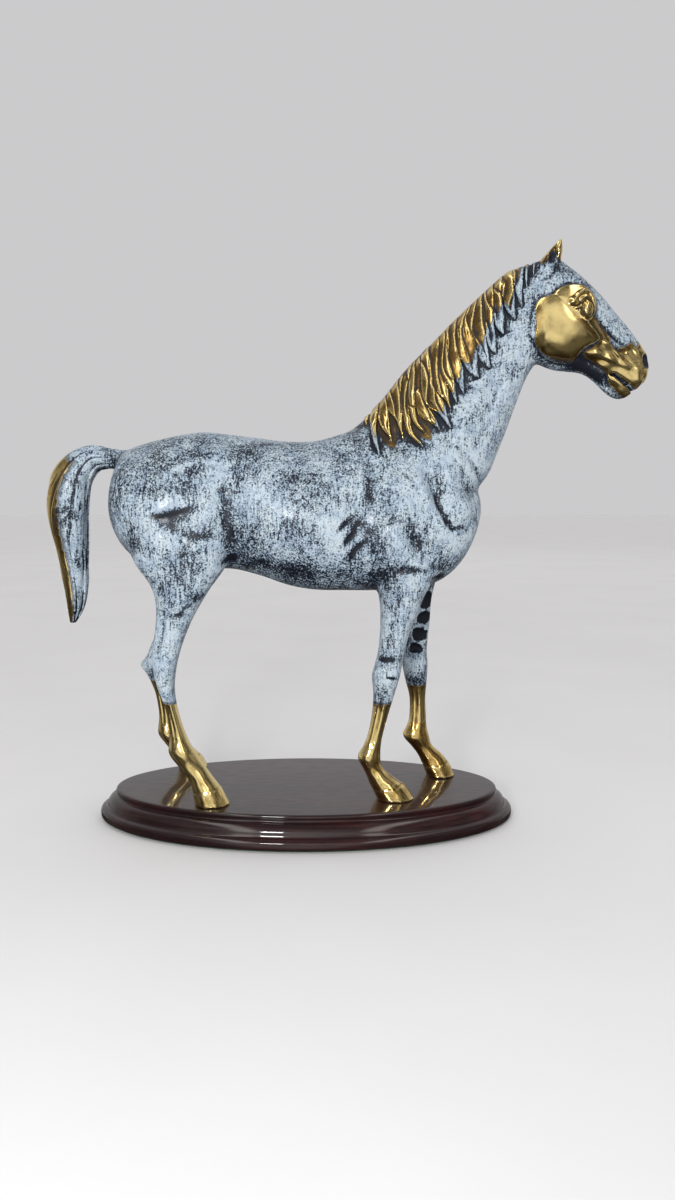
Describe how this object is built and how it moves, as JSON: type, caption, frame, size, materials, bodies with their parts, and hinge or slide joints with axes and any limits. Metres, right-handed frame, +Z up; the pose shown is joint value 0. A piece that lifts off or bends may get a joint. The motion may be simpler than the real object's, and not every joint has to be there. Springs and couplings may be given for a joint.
{
  "type": "horse statuette",
  "caption": "Standing horse in pale-patinated, part-polished bronze, cast in sections and fixed by studs to a moulded oval hardwood plinth.",
  "frame": {"origin": "centre of the plinth's underside, on the surface it stands on", "axes": "+X from tail to head, +Y to the horse's left, +Z up"},
  "size_m": [0.3691, 0.132, 0.3542],
  "materials": {
    "patinated_bronze": "satin",
    "mahogany": "gloss",
    "baize": "matte",
    "steel": "satin"
  },
  "bodies": {
    "root": {"torso_casting": "patinated_bronze", "neck_casting": "patinated_bronze", "head_casting": "patinated_bronze", "tail_casting": "patinated_bronze", "right_fore_leg_casting": "patinated_bronze", "left_fore_leg_casting": "patinated_bronze", "right_hind_leg_casting": "patinated_bronze", "left_hind_leg_casting": "patinated_bronze", "plinth": "mahogany", "plinth_felt": "baize", "right_fore_stud": "steel", "left_fore_stud": "steel", "right_hind_stud": "steel", "left_hind_stud": "steel", "right_fore_washer": "steel", "left_fore_washer": "steel", "right_hind_washer": "steel", "left_hind_washer": "steel", "right_fore_nut": "steel", "left_fore_nut": "steel", "right_hind_nut": "steel", "left_hind_nut": "steel"}
  },
  "joints": []
}
